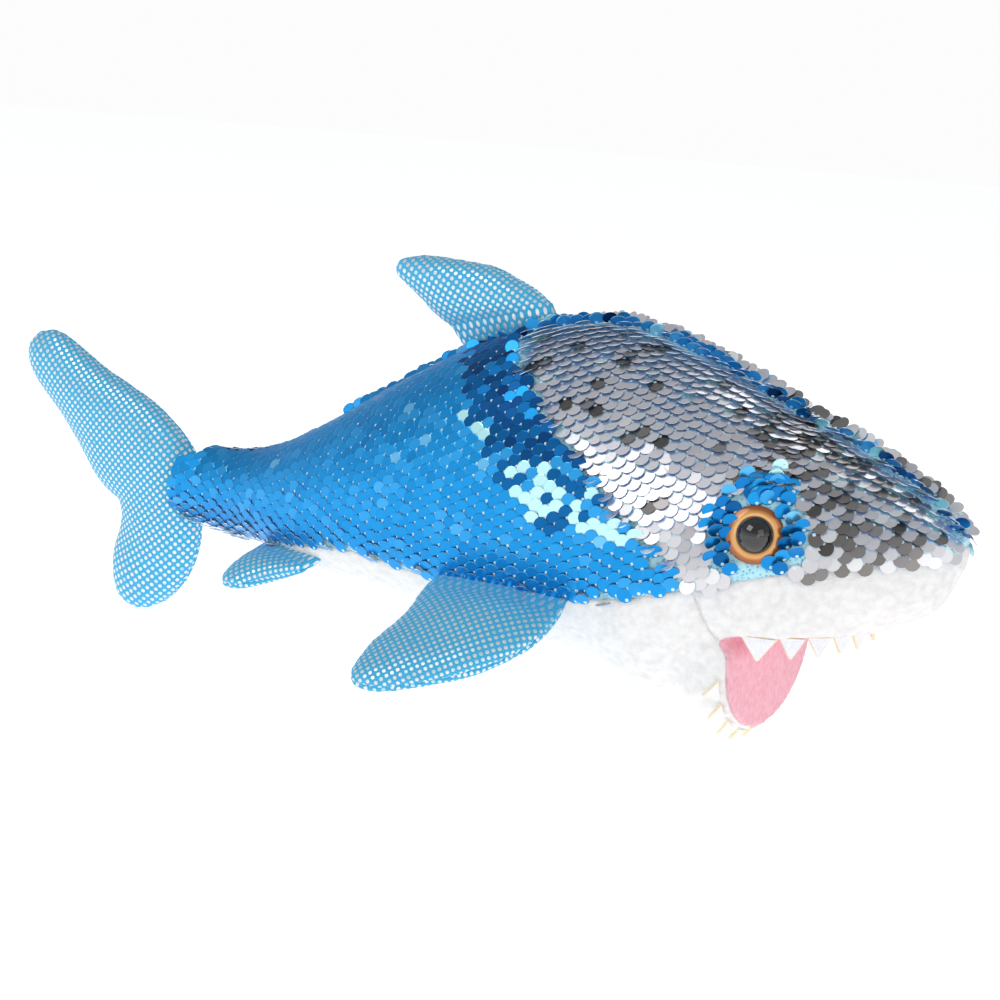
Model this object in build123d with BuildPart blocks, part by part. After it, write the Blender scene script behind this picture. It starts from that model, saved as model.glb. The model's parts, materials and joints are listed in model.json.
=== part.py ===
"""Plush shark with reversible-sequin sides, a hanging stuffed jaw and six stuffed fins.

Frame: +X towards the nose, +Y towards the shark's left, +Z up, in millimetres. The origin is
at the middle of the footprint, on the plane that the lower teeth and the tail fin stand on.
"""
import math
import os

from build123d import *

os.makedirs("parts", exist_ok=True)

# --- cloth thicknesses and clearances ---------------------------------------------------
skin = 1.6            # sequin cloth and plush of the body
fin_cloth = 0.8       # foil-dot cloth of the fins
lining = 1.2          # pink knit that lines the mouth
felt = 1.2            # felt of the teeth
slip = 0.05           # gap between a cover and what fills it
reach = 120.0         # half width of the cutting volumes, wider than the body

# --- body: x, height of the widest line, half width, ridge height, keel height ----------
body_stations = [
    (-99.5, 51.0, 12.5, 63.5, 38.0),
    (-85.0, 50.0, 15.0, 64.5, 36.0),
    (-68.0, 49.5, 21.5, 69.0, 34.5),
    (-46.0, 50.0, 31.0, 80.5, 31.0),
    (-14.0, 54.0, 41.0, 101.0, 28.0),
    (16.0, 58.0, 47.0, 117.5, 24.0),
    (46.0, 60.0, 50.0, 127.5, 19.5),
    (76.0, 61.5, 49.0, 127.0, 17.5),
    (106.0, 65.0, 45.0, 117.0, 14.0),
    (131.0, 68.0, 37.5, 106.5, 17.0),
    (145.0, 70.0, 32.5, 101.0, 29.0),
    (156.0, 71.5, 27.0, 96.0, 42.5),
    (168.0, 73.0, 19.5, 89.0, 49.5),
    (177.0, 74.0, 11.5, 82.5, 57.5),
    (181.6, 74.5, 4.5, 78.0, 67.5),
]

# seam between the sequin sides and the white plush, from under the tail to the nose
side_seam = [
    (-84.0, 31.0), (-70.0, 38.0), (-50.0, 41.0), (-20.0, 46.0), (14.0, 44.5), (45.0, 44.5),
    (66.0, 46.0), (86.0, 49.0), (108.0, 55.5), (131.0, 62.5), (155.0, 69.0), (172.0, 73.0), (190.0, 76.5),
]
lip_seam_top = (108.0, 62.0)      # seam between the belly and the lip band
lip_seam_foot = (118.0, 36.0)
rest_flat = 21.0                  # height of the flat that the belly rests on
rest_flat_x = (36.0, 71.0)
rest_flat_half = 16.0

# --- mouth and jaw ----------------------------------------------------------------------
jaw_hinge = (115.5, 33.0)         # x and z of the fold line at the corners of the mouth
jaw_root = 7.0                    # radius of the jaw's rolled root
jaw_gap = 0.6                     # clearance of the root in the throat
jaw_half = 36.0                   # half width of the jaw at its root
jaw_drop = 26.5                   # from the fold line down to the rim
jaw_rim = 6.0                     # thickness of the jaw at its rim
palate_back = 41.2                # height of the palate over the corners of the mouth
palate_rise = 0.08                # slope of the palate towards the nose
mouth_front = 120.0               # centre of the upper arch of teeth
arch_length = 34.0
arch_half = 32.0
tooth_starts = [-84.0, -64.5, -49.5, -34.5, -20.5, -6.5]      # degrees round the arch
tooth_heights = [7.6, 6.8, 6.4, 6.0, 5.6]
lower_teeth = 9
lower_tooth_width = 7.4
lower_tooth_height = 5.6
lower_tooth_spread = 72.0         # degrees of the rim on each side of its lowest point
lower_tooth_gap = 0.6             # between the rim and the teeth
tooth_tip = 0.4                   # half width of a tooth's blunt tip

# --- eyes -------------------------------------------------------------------------------
eye_centre = (127.5, 38.3, 75.5)
eye_out = (0.33, 0.925, 0.19)     # outward direction of the left eye
eye_radius = 9.0
iris_height = 2.8
iris_edge = 1.6                   # chamfer round the iris
pupil_radius = 5.9
pupil_seat = 0.8                  # floor of the pupil's socket over the skin
pupil_height = 4.2
pupil_round = 3.4
stem_radius = 2.0
stem_length = 15.0
stem_play = 0.3
washer_radius = 7.5
washer_thick = 1.4
washer_depth = 1.4                # between the skin and the washer
washer_play = 0.2

# --- fins: place along the root, span, half chord, half thickness -----------------------
pectoral_root = (48.6, 49.0, 44.2)
pectoral_droop = 32.0
pectoral_stations = [
    (-1.0, 0.0, 23.5, 1.3), (-1.5, 4.0, 24.5, 4.0), (-2.0, 12.0, 23.8, 6.3), (-5.5, 24.0, 22.4, 6.6),
    (-12.5, 36.0, 17.8, 5.4), (-19.0, 44.5, 11.3, 3.8), (-22.0, 49.0, 4.5, 1.8),
]
pelvic_root = (-44.0, 28.2, 38.2)
pelvic_droop = 30.0
pelvic_toe_in = 21.0
pelvic_stations = [
    (0.0, 0.0, 16.0, 1.2), (-1.0, 3.0, 15.5, 2.8), (-3.5, 8.0, 13.0, 4.0), (-6.0, 13.0, 10.0, 4.0),
    (-8.0, 18.0, 7.0, 3.2), (-9.5, 21.5, 3.0, 1.6),
]
dorsal_root = (20.0, 0.0, 123.2)
dorsal_rise = 18.0
dorsal_stations = [
    (-1.0, 0.0, 19.0, 1.3), (-3.0, 4.0, 19.5, 5.0), (-8.5, 10.0, 19.5, 7.4), (-16.0, 18.0, 17.8, 7.6),
    (-26.0, 25.0, 13.0, 6.2), (-32.0, 29.0, 7.0, 4.0), (-34.0, 30.6, 3.0, 2.0),
]
# tail fin: x, z, heading of the span in degrees from +X, half chord, half thickness
caudal_stations = [
    (-180.0, 94.0, 144.0, 3.5, 2.0), (-176.5, 91.5, 144.0, 8.5, 4.6), (-168.0, 85.5, 144.0, 11.5, 7.0),
    (-151.0, 73.5, 142.0, 14.5, 8.4), (-134.5, 61.5, 136.0, 19.5, 9.0), (-120.0, 48.5, 116.0, 19.0, 8.4),
    (-118.0, 36.0, 98.0, 17.2, 8.0), (-119.0, 26.0, 84.0, 17.4, 7.8), (-123.0, 16.0, 72.0, 16.0, 7.2),
    (-128.0, 7.5, 64.0, 11.0, 5.4), (-131.0, 2.4, 62.0, 5.0, 3.0),
]
caudal_waist = 5                  # section where the upper and the lower lobe meet


# --- shapes that several pieces share ---------------------------------------------------
def body_form(inset):
    """Whole body, tail to nose, with every section drawn in by the inset."""
    with BuildPart() as form:
        for number, (x, middle, half, ridge, keel) in enumerate(body_stations):
            if number == 0:
                x += inset
            if number == len(body_stations) - 1:
                x -= inset
            with BuildSketch(Plane(origin=(x, 0, middle), x_dir=(0, 1, 0), z_dir=(1, 0, 0))):
                with BuildLine():
                    EllipticalCenterArc((0, 0), half - inset, ridge - middle - inset, 0, arc_size=180)
                    EllipticalCenterArc((0, 0), half - inset, middle - keel - inset, 180, arc_size=180)
                make_face()
        loft()
        with BuildSketch(Plane.XY.offset(rest_flat + inset)):
            with Locations(((rest_flat_x[0] + rest_flat_x[1]) / 2, 0)):
                Rectangle(rest_flat_x[1] - rest_flat_x[0], 2 * rest_flat_half)
        extrude(amount=-reach, mode=Mode.SUBTRACT)
    return form.part


def side_region(points, above):
    """Everything over or under a line drawn on the side of the body."""
    edge = reach * 2 if above else -reach
    with BuildPart() as region:
        with BuildSketch(Plane.XZ):
            with BuildLine():
                Spline(points)
                Polyline(points[-1], (points[-1][0], edge), (points[0][0], edge), points[0])
            make_face()
        extrude(amount=reach, both=True)
    return region.part


def mouth_space(grow):
    """Gap of the open mouth: under the palate, before the throat, round the root of the jaw."""
    hinge_x, hinge_z = jaw_hinge
    back = hinge_x - jaw_root - jaw_gap
    far = 2 * reach
    front = palate_back + palate_rise * (far - mouth_front)
    bend = (hinge_x + (back - hinge_x) * math.sqrt(0.5), hinge_z + (palate_back - hinge_z) * math.sqrt(0.5))
    with BuildPart() as space:
        with BuildSketch(Plane.XZ):
            with BuildLine():
                Polyline((back, hinge_z), (back, -reach), (far, -reach), (far, front), (hinge_x, palate_back))
                ThreePointArc((hinge_x, palate_back), bend, (back, hinge_z))
            make_face()
            if grow > 0:
                offset(amount=grow)
        extrude(amount=reach, both=True)
    return space.part


def jaw_form(inset):
    """Stuffed lower jaw: a rolled root and a flap that narrows to a round rim."""
    hinge_x, hinge_z = jaw_hinge
    radius = jaw_root - inset
    front = hinge_x + radius
    foot = hinge_z - jaw_drop + inset
    back = front - jaw_rim + 2 * inset
    half = jaw_half - inset
    with BuildPart() as form:
        with BuildSketch(Plane.XZ):
            with BuildLine():
                Polyline((hinge_x - radius, hinge_z), (back, foot), (front, foot), (front, hinge_z))
                ThreePointArc((front, hinge_z), (hinge_x, hinge_z + radius), (hinge_x - radius, hinge_z))
            make_face()
        extrude(amount=half, both=True)
        with BuildSketch(Plane(origin=(0, 0, hinge_z), x_dir=(0, 1, 0), z_dir=(1, 0, 0))):
            with BuildLine():
                EllipticalCenterArc((0, 0), half, jaw_drop - inset, 180, arc_size=180)
                Polyline((half, 0), (half, reach), (-half, reach), (-half, 0))
            make_face()
        extrude(amount=2 * reach, mode=Mode.INTERSECT)
    return form.part


def pillow(sections, inset, start, stop):
    """Stuffed lobe of a fin, lofted over some of its oval sections.

    Each section is a plane, a half chord and a half thickness. Only the ends of the whole fin
    are drawn in by the inset, so that two lobes still meet at the section that they share.
    """
    last = len(sections) - 1
    with BuildPart() as form:
        for number in range(start, stop + 1):
            place, chord, thick = sections[number]
            shift = inset if number == 0 else -inset if number == last else 0.0
            with BuildSketch(place.offset(shift)):
                Ellipse(chord - inset, thick - inset)
        loft()
    return form.part


def fin_sections(root, along, out, stations):
    """Section planes of a fin: chords run along its root and the span runs outwards."""
    sections = []
    for place, span, chord, thick in stations:
        origin = Vector(*root) + Vector(*along) * place + Vector(*out) * span
        sections.append((Plane(origin=origin, x_dir=along, z_dir=out), chord, thick))
    return sections


def stitch_fin(name, sections, middle, sides, waist=0):
    """Two cloth faces sewn round the edge of a fin, and the fibre that fills them.

    A fin of two lobes names the section at its waist, where the lobes meet.
    """
    last = len(sections) - 1
    lobes = [(0, waist), (waist, last)] if waist else [(0, last)]
    covers = [pillow(sections, 0.0, *lobe) - pillow(sections, fin_cloth, *lobe) for lobe in lobes]
    for side, keep in zip(sides, (Keep.TOP, Keep.BOTTOM)):
        with BuildPart() as face:
            for cover in covers:
                add(cover)
            split(bisect_by=middle, keep=keep)
        face.part.label = f"{name}_{side}"
        export_step(face.part, f"parts/{name}_{side}.step")
    with BuildPart() as filling:
        for lobe in lobes:
            add(pillow(sections, fin_cloth + slip, *lobe))
    filling.part.label = f"{name}_stuffing"
    export_step(filling.part, f"parts/{name}_stuffing.step")


def eye_plane(side):
    """Plane that touches the head under the middle of an eye; side is 1 left, -1 right."""
    x, y, z = eye_centre
    out_x, out_y, out_z = eye_out
    return Plane(origin=(x, side * y, z), x_dir=(out_y, -side * out_x, 0), z_dir=(out_x, side * out_y, out_z))


# --- regions that cut the body into its panels ------------------------------------------
belly_zone = side_region(side_seam, above=False)
with BuildPart() as head_zone:
    with BuildSketch(Plane.XZ):
        with BuildLine():
            Polyline((lip_seam_top[0], reach), lip_seam_top, lip_seam_foot, (lip_seam_foot[0], -reach),
                     (2 * reach, -reach), (2 * reach, reach), (lip_seam_top[0], reach))
        make_face()
    extrude(amount=reach, both=True)
mouth = mouth_space(0.0)
mouth_behind_lining = mouth_space(lining)
body_outside = body_form(0.0)
body_inside = body_form(skin)
body_cover = body_outside - body_inside - mouth

# --- holes for the eyes' stems ----------------------------------------------------------
with BuildPart() as stem_space:
    for side in (1, -1):
        with BuildSketch(eye_plane(side).offset(-stem_length - stem_play)):
            Circle(stem_radius + stem_play)
        extrude(amount=stem_length + eye_radius)
with BuildPart() as washer_space:
    for side in (1, -1):
        with BuildSketch(eye_plane(side).offset(-skin - washer_depth - washer_play - washer_thick)):
            Circle(washer_radius + washer_play)
        extrude(amount=washer_thick + washer_depth + washer_play)

# --- sequin sides, joined along the ridge of the back -----------------------------------
for name, keep in (("sequin_panel_left", Keep.BOTTOM), ("sequin_panel_right", Keep.TOP)):
    with BuildPart() as panel:
        add(body_cover)
        add(belly_zone, mode=Mode.SUBTRACT)
        split(bisect_by=Plane.XZ, keep=keep)
        add(stem_space.part, mode=Mode.SUBTRACT)
    panel.part.label = name
    export_step(panel.part, f"parts/{name}.step")

# --- white plush belly with the flat that it rests on ------------------------------------
with BuildPart() as belly_panel:
    add(body_cover)
    add(belly_zone, mode=Mode.INTERSECT)
    add(head_zone.part, mode=Mode.SUBTRACT)
belly_panel.part.label = "belly_panel"
export_step(belly_panel.part, "parts/belly_panel.step")

# --- white plush band round the upper jaw and under the nose -----------------------------
with BuildPart() as lip_band:
    add(body_cover)
    add(belly_zone, mode=Mode.INTERSECT)
    add(head_zone.part, mode=Mode.INTERSECT)
lip_band.part.label = "lip_band"
export_step(lip_band.part, "parts/lip_band.step")

# --- pink knit over the palate and down the throat ---------------------------------------
with BuildPart() as palate_lining:
    add(body_inside)
    add(mouth_behind_lining, mode=Mode.INTERSECT)
    add(mouth, mode=Mode.SUBTRACT)
palate_lining.part.label = "palate_lining"
export_step(palate_lining.part, "parts/palate_lining.step")

# --- fibre that fills the body -----------------------------------------------------------
with BuildPart() as body_stuffing:
    add(body_form(skin + slip))
    add(mouth_space(lining + slip), mode=Mode.SUBTRACT)
    add(stem_space.part, mode=Mode.SUBTRACT)
    add(washer_space.part, mode=Mode.SUBTRACT)
body_stuffing.part.label = "body_stuffing"
export_step(body_stuffing.part, "parts/body_stuffing.step")

# --- felt teeth of the upper jaw ---------------------------------------------------------
with BuildPart() as upper_teeth:
    for side in (1, -1):
        for number, height in enumerate(tooth_heights):
            first, last = (math.radians(turn) for turn in tooth_starts[number:number + 2])
            turn = (first + last) / 2
            across = Vector(-arch_length * math.sin(turn), side * arch_half * math.cos(turn), 0).normalized()
            middle_x = mouth_front + arch_length * math.cos(turn)
            middle_y = side * arch_half * math.sin(turn)
            width = (last - first) * math.hypot(arch_length * math.sin(turn), arch_half * math.cos(turn))
            gum = palate_back + palate_rise * (middle_x - width / 2 - mouth_front) - slip
            outward = Vector(-across.Y, across.X, 0)
            with BuildSketch(Plane(origin=(middle_x, middle_y, gum), x_dir=across, z_dir=outward)):
                Polygon((-width / 2, 0), (width / 2, 0), (tooth_tip, height), (-tooth_tip, height),
                        align=None)
            extrude(amount=felt / 2, both=True)
upper_teeth.part.label = "upper_teeth"
export_step(upper_teeth.part, "parts/upper_teeth.step")

# --- eyes: amber iris on a stem, black pupil, locking washer inside the head -------------
for name, side in (("left", 1), ("right", -1)):
    seat = eye_plane(side)
    with BuildPart() as iris:
        with BuildSketch(seat):
            Circle(eye_radius)
        extrude(amount=iris_height)
        chamfer(iris.faces().sort_by(Axis(seat.origin, seat.z_dir))[-1].edges(), iris_edge)
        with BuildSketch(seat.offset(pupil_seat)):
            Circle(pupil_radius + slip)
        extrude(amount=iris_height, mode=Mode.SUBTRACT)
        with BuildSketch(seat):
            Circle(stem_radius)
        extrude(amount=-stem_length)
    iris.part.label = f"{name}_eye_iris"
    export_step(iris.part, f"parts/{name}_eye_iris.step")

    with BuildPart() as pupil:
        with BuildSketch(seat.offset(pupil_seat + slip)):
            Circle(pupil_radius)
        extrude(amount=pupil_height)
        fillet(pupil.faces().sort_by(Axis(seat.origin, seat.z_dir))[-1].edges(), pupil_round)
    pupil.part.label = f"{name}_eye_pupil"
    export_step(pupil.part, f"parts/{name}_eye_pupil.step")

    with BuildPart() as washer:
        with BuildSketch(seat.offset(-skin - washer_depth - washer_thick)):
            Circle(washer_radius)
            Circle(stem_radius + slip, mode=Mode.SUBTRACT)
        extrude(amount=washer_thick)
    washer.part.label = f"{name}_eye_washer"
    export_step(washer.part, f"parts/{name}_eye_washer.step")

# --- lower jaw: white plush behind, pink knit in front, fibre between --------------------
lining_plane = Plane.YZ.offset(jaw_hinge[0] + jaw_root - lining)
jaw_cover = jaw_form(0.0) - jaw_form(lining)
for name, keep in (("jaw_lining", Keep.TOP), ("jaw_plush", Keep.BOTTOM)):
    with BuildPart() as face:
        add(jaw_cover)
        split(bisect_by=lining_plane, keep=keep)
    face.part.label = name
    export_step(face.part, f"parts/{name}.step")
with BuildPart() as jaw_stuffing:
    add(jaw_form(lining + slip))
jaw_stuffing.part.label = "jaw_stuffing"
export_step(jaw_stuffing.part, "parts/jaw_stuffing.step")

# --- felt teeth round the rim of the lower jaw -------------------------------------------
with BuildPart() as lower_tooth_row:
    for number in range(lower_teeth):
        turn = math.radians(lower_tooth_spread * (2 * number / (lower_teeth - 1) - 1) - 90)
        across = Vector(0, -jaw_half * math.sin(turn), jaw_drop * math.cos(turn)).normalized()
        outward = Vector(0, across.Z, -across.Y)
        rim = Vector(jaw_hinge[0] + jaw_root - lining - felt, jaw_half * math.cos(turn),
                     jaw_hinge[1] + jaw_drop * math.sin(turn)) + outward * lower_tooth_gap
        half = lower_tooth_width / 2
        with BuildSketch(Plane(origin=rim, x_dir=across, z_dir=across.cross(outward))):
            Polygon((-half, 0), (half, 0), (tooth_tip, lower_tooth_height), (-tooth_tip, lower_tooth_height),
                    align=None)
        extrude(amount=felt / 2, both=True)
lower_tooth_row.part.label = "lower_teeth"
export_step(lower_tooth_row.part, "parts/lower_teeth.step")

# --- fins --------------------------------------------------------------------------------
rise = math.radians(dorsal_rise)
dorsal = fin_sections(dorsal_root, (math.cos(rise), 0, math.sin(rise)), (-math.sin(rise), 0, math.cos(rise)),
                      dorsal_stations)
stitch_fin("dorsal_fin", dorsal, Plane.XZ, ("right", "left"))

caudal = []
for x, z, heading, chord, thick in caudal_stations:
    turn = math.radians(heading - 180)
    place = Plane(origin=(x, 0, z), x_dir=(-math.sin(turn), 0, math.cos(turn)),
                  z_dir=(math.cos(turn), 0, math.sin(turn)))
    caudal.append((place, chord, thick))
stitch_fin("caudal_fin", caudal, Plane.XZ, ("right", "left"), waist=caudal_waist)

droop = math.radians(pectoral_droop)
slope = math.radians(pelvic_droop)
toe = math.radians(pelvic_toe_in)
for name, side in (("left", 1), ("right", -1)):
    x, y, z = pectoral_root
    out = (0, side * math.cos(droop), -math.sin(droop))
    pectoral = fin_sections((x, side * y, z), (1, 0, 0), out, pectoral_stations)
    stitch_fin(f"{name}_pectoral_fin", pectoral, Plane(origin=(x, side * y, z), x_dir=(1, 0, 0),
               z_dir=(0, math.sin(droop), side * math.cos(droop))), ("top", "underside"))

    x, y, z = pelvic_root
    along = (math.cos(toe), side * math.sin(toe), 0)
    out = (-math.sin(toe) * math.cos(slope), side * math.cos(toe) * math.cos(slope), -math.sin(slope))
    lift = Vector(*along).cross(Vector(*out)) * side
    pelvic = fin_sections((x, side * y, z), along, out, pelvic_stations)
    stitch_fin(f"{name}_pelvic_fin", pelvic, Plane(origin=(x, side * y, z), x_dir=along, z_dir=lift),
               ("top", "underside"))
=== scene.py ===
"""Plush shark with flip-sequin sides, foil-dot fins, a felt-toothed mouth and amber eyes.

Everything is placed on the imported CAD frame, in metres. Sizes below are in millimetres and
are turned to metres where a mesh is made.
"""
import json
import math
import random

import bmesh
import bpy
import numpy as np
from mathutils import Matrix, Vector, noise
from mathutils.bvhtree import BVHTree


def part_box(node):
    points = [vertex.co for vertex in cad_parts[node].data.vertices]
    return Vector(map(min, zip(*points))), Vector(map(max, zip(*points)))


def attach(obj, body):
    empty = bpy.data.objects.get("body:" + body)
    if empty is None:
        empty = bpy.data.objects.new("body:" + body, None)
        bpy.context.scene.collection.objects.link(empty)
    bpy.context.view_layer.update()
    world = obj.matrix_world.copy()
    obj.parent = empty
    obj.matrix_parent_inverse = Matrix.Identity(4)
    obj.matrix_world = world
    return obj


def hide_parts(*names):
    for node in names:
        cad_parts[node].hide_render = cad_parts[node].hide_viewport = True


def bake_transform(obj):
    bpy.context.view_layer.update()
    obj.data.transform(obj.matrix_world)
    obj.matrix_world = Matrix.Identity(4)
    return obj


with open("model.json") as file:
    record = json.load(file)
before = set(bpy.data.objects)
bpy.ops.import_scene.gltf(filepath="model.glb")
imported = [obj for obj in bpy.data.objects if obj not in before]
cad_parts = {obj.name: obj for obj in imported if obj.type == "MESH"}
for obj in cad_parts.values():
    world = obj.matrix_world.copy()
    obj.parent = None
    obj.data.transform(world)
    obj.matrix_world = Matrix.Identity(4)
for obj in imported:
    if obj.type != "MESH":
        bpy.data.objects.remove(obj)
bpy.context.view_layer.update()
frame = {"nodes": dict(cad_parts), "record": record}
MM = 0.001

# --- studio ------------------------------------------------------------------------------
# A long lens looks down a little on the shark's right side, with the nose turned to it.
# The lens is rolled a few degrees, because the toy stands on its teeth and tail fin.
AIM = Vector((20.4, 0.0, 64.2)) * MM
TURN, HEIGHT, ROLL = math.radians(27.24), math.radians(10.46), math.radians(4.76)
DISTANCE = 780 * MM
LENS, SENSOR = 83.16, 36

back = Vector((math.sin(TURN) * math.cos(HEIGHT), -math.cos(TURN) * math.cos(HEIGHT), math.sin(HEIGHT)))
bpy.ops.object.camera_add(location=AIM + back * DISTANCE)
camera = bpy.context.object
camera.rotation_mode = "QUATERNION"
camera.rotation_quaternion = back.to_track_quat("Z", "Y") @ Matrix.Rotation(ROLL, 3, "Z").to_quaternion()
camera.data.lens = LENS
camera.data.sensor_width = SENSOR
camera.data.clip_start = 0.01
bpy.context.scene.camera = camera


def linear(hex_code):
    """sRGB hex colour as linear RGBA."""
    parts = [int(hex_code[i:i + 2], 16) / 255 for i in (1, 3, 5)]
    return tuple(c / 12.92 if c <= 0.04045 else ((c + 0.055) / 1.055) ** 2.4 for c in parts) + (1.0,)


def add_node(tree, kind, inputs=None, **settings):
    """One shader node with its settings, and its inputs set or linked; returns the node."""
    made = tree.nodes.new(kind)
    for name, value in settings.items():
        setattr(made, name, value)
    for name, value in (inputs or {}).items():
        socket = made.inputs[name]
        if isinstance(value, bpy.types.NodeSocket):
            tree.links.new(value, socket)
        else:
            socket.default_value = value
    return made


def set_ramp(ramp, stops):
    """Puts colours on a colour ramp: pairs of a position and a hex colour."""
    ramp.color_ramp.elements.remove(ramp.color_ramp.elements[1])
    for number, (position, colour) in enumerate(stops):
        stop = ramp.color_ramp.elements[0] if number == 0 else ramp.color_ramp.elements.new(position)
        stop.position = position
        stop.color = linear(colour)


def new_material(name):
    """Empty node material; returns the material and its tree."""
    made = bpy.data.materials.new(name)
    made.use_nodes = True
    made.node_tree.nodes.clear()
    return made, made.node_tree


for name, size, power, place in (
        ("key_softbox", 0.9, 6.5, (-0.5, -1.1, 1.3)),
        ("fill_softbox", 0.9, 2.2, (1.3, -0.7, 0.7)),
        ("back_softbox", 0.8, 3.5, (0.1, 1.3, 1.0)),
        ("nose_softbox", 0.35, 0.3, (0.9, -0.9, 0.15))):
    bpy.ops.object.light_add(type="AREA", location=place)
    lamp = bpy.context.object
    lamp.name = name
    lamp.data.size = size
    lamp.data.energy = power
    lamp.rotation_euler = (AIM - Vector(place)).to_track_quat("-Z", "Y").to_euler()

studio = bpy.data.worlds.new("studio")
bpy.context.scene.world = studio
studio.use_nodes = True
sky = studio.node_tree
sky.nodes.clear()
looking = add_node(sky, "ShaderNodeTexCoord")
level = add_node(sky, "ShaderNodeSeparateXYZ", {"Vector": looking.outputs["Generated"]})
band = add_node(sky, "ShaderNodeValToRGB", {"Fac": level.outputs["Z"]})
set_ramp(band, [(0.0, "#FFFFFF"), (0.1, "#FFFFFF"), (0.4, "#B2B5B9"), (0.8, "#A6AAAF")])
glow = add_node(sky, "ShaderNodeBackground", {"Color": band.outputs["Color"], "Strength": 0.98})
add_node(sky, "ShaderNodeOutputWorld", {"Surface": glow.outputs["Background"]})

bpy.ops.mesh.primitive_circle_add(vertices=96, radius=6.0, fill_type="NGON")
floor = bpy.context.object
floor.name = "floor"
paper, tree = new_material("matt_paper_floor")
coat = add_node(tree, "ShaderNodeBsdfPrincipled", {
    "Base Color": linear("#FBFBFA"), "Roughness": 0.9, "Emission Color": linear("#FFFFFF"),
    "Emission Strength": 0.55})
add_node(tree, "ShaderNodeOutputMaterial", {"Surface": coat.outputs["BSDF"]})
floor.data.materials.append(paper)
bpy.context.scene.view_settings.view_transform = "Standard"

# --- sewn skin: net sides, white plush belly and lip, pink mouth lining -------------------
# The body is sewn from four cloths and stuffed, so its skin is one closed form with seams.
# It is fused from the CAD solids and parted again along their borders into the four cloths.
SKIN_VOXEL = 1.1
CLOTHS = {
    "sequin_net": ("sequin_panel_left", "sequin_panel_right"),
    "belly_plush": ("belly_panel", "jaw_plush"),
    "lip_plush": ("lip_band",),
    "mouth_lining": ("palate_lining", "jaw_lining"),
}
SEAM_DEPTH, BESIDE_SHARE = 0.55, 0.45   # depth of a seam, and the share of it one vertex away
THROAT_OFF, THROAT_SIZE = (-6.0, 0.0, -10.0), (9.0, 35.5, 14.0)   # stuffing bulge behind the jaw
CHIN_BACK, CHIN_FRONT, CHIN_TOP, CHIN_HALF = 90.0, 119.0, 38.0, 46.0   # chin that is smoothed longer
CHIN_FADE, CHIN_FRONT_FADE = 6.0, 3.0
LINING_BACK, LINING_HALF = 4.0, 35.0    # the lining's reach behind the fold, and its half width there
JAW_START, JAW_FACING = 3.0, 0.4        # jaw faces past here that look this far forward are lining
THROAT_TOP = 4.0                        # behind the fold the plush reaches this high over it
LUMP, LUMP_SCALE = 0.5, 45              # height in mm, and lumps to the metre
PILE, PILE_SCALE = 0.14, 420
CLOTH_THICK = 1.2
JAW_JOINT = next(j for j in frame["record"]["behaviour"]["joints"] if j["name"] == "jaw_fold")
FOLD = Vector(JAW_JOINT["pos_m"])


def copy_nodes(name, nodes):
    """New mesh object made of merged copies of several CAD nodes."""
    merged = bmesh.new()
    for node in nodes:
        merged.from_mesh(frame["nodes"][node].data)
    bmesh.ops.remove_doubles(merged, verts=merged.verts, dist=1e-6)
    mesh = bpy.data.meshes.new(name)
    merged.to_mesh(mesh)
    merged.free()
    made = bpy.data.objects.new(name, mesh)
    bpy.context.collection.objects.link(made)
    bpy.ops.object.select_all(action="DESELECT")
    bpy.context.view_layer.objects.active = made
    made.select_set(True)
    return made


def apply_modifier(piece, kind, **settings):
    """Adds one modifier with its settings and applies it."""
    bpy.ops.object.select_all(action="DESELECT")
    bpy.context.view_layer.objects.active = piece
    piece.select_set(True)
    modifier = piece.modifiers.new(kind.lower(), kind)
    for name, value in settings.items():
        setattr(modifier, name, value)
    bpy.ops.object.modifier_apply(modifier=modifier.name)


def fuse(piece, voxel):
    """Joins all that a mesh holds into one closed skin of even small faces."""
    apply_modifier(piece, "REMESH", mode="VOXEL", voxel_size=voxel * MM, use_smooth_shade=True)


def surface_of(nodes):
    """Search tree over several CAD nodes, and the name of the node that each of its faces is from."""
    points, faces, owners = [], [], []
    for node in nodes:
        mesh = frame["nodes"][node].data
        first = len(points)
        points += [v.co.copy() for v in mesh.vertices]
        faces += [tuple(first + i for i in p.vertices) for p in mesh.polygons]
        owners += [node] * len(mesh.polygons)
    return BVHTree.FromPolygons(points, faces), owners


skin = copy_nodes("skin", [n for nodes in CLOTHS.values() for n in nodes] + ["body_stuffing", "jaw_stuffing"])
bpy.ops.mesh.primitive_uv_sphere_add(segments=48, ring_count=24, location=FOLD + Vector(THROAT_OFF) * MM,
                                     scale=Vector(THROAT_SIZE) * MM)
skin.select_set(True)
bpy.context.view_layer.objects.active = skin
bpy.ops.object.join()
fuse(skin, SKIN_VOXEL)
chin = skin.vertex_groups.new(name="chin")
for v in skin.data.vertices:
    x, y, z = v.co / MM
    if CHIN_BACK < x < CHIN_FRONT and z < CHIN_TOP and abs(y) < CHIN_HALF:
        weight = min(1, (CHIN_TOP - z) / CHIN_FADE, (x - CHIN_BACK) / CHIN_FADE,
                     (CHIN_FRONT - x) / CHIN_FRONT_FADE)
        chin.add([v.index], weight, "REPLACE")
apply_modifier(skin, "SMOOTH", factor=0.5, iterations=4)
apply_modifier(skin, "SMOOTH", factor=0.5, iterations=120, vertex_group="chin")

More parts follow.
